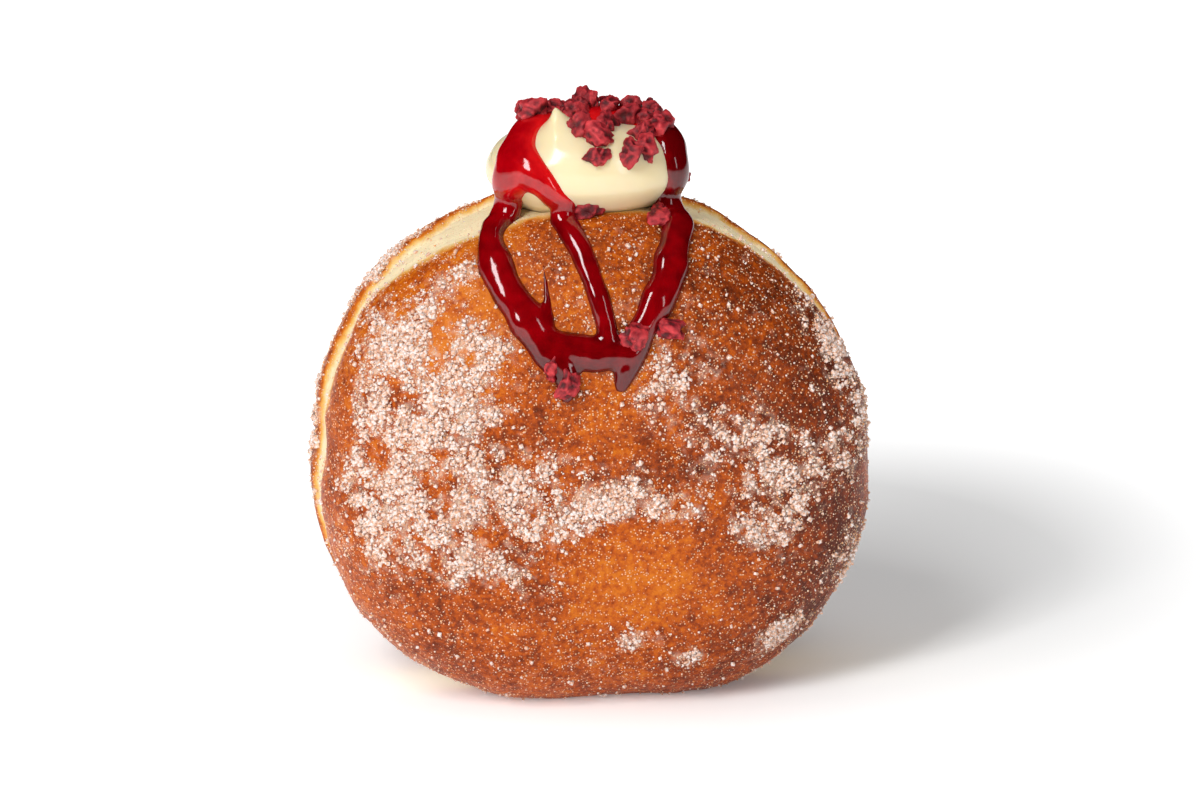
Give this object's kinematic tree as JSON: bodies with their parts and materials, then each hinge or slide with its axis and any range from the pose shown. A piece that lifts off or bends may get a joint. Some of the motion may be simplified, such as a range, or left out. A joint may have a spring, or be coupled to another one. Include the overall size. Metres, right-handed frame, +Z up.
{
  "type": "jelly filled doughnut",
  "caption": "Sugared round doughnut standing on its edge, with custard piped out of its top and jelly running down its front.",
  "frame": {"origin": "middle of the bottom of the box round the doughnut, on the small flat patch that it rests on", "axes": "+Z up, towards the custard; the front face, with the jelly, looks along -Y; +X is to the right seen from the front"},
  "size_m": [0.09, 0.05, 0.0959],
  "materials": {
    "crust": "orange-brown fried crust with a pale rim band and clinging sugar grains",
    "custard": "smooth pale yellow custard with a soft sheen",
    "jelly": "deep red, clear, very glossy jelly",
    "berry_crumb": "dry crimson dried-berry pieces",
    "sugar": "clear white sugar crystals"
  },
  "bodies": {
    "root": {"dough": "crust", "custard": "custard", "jelly": "jelly"}
  },
  "joints": []
}
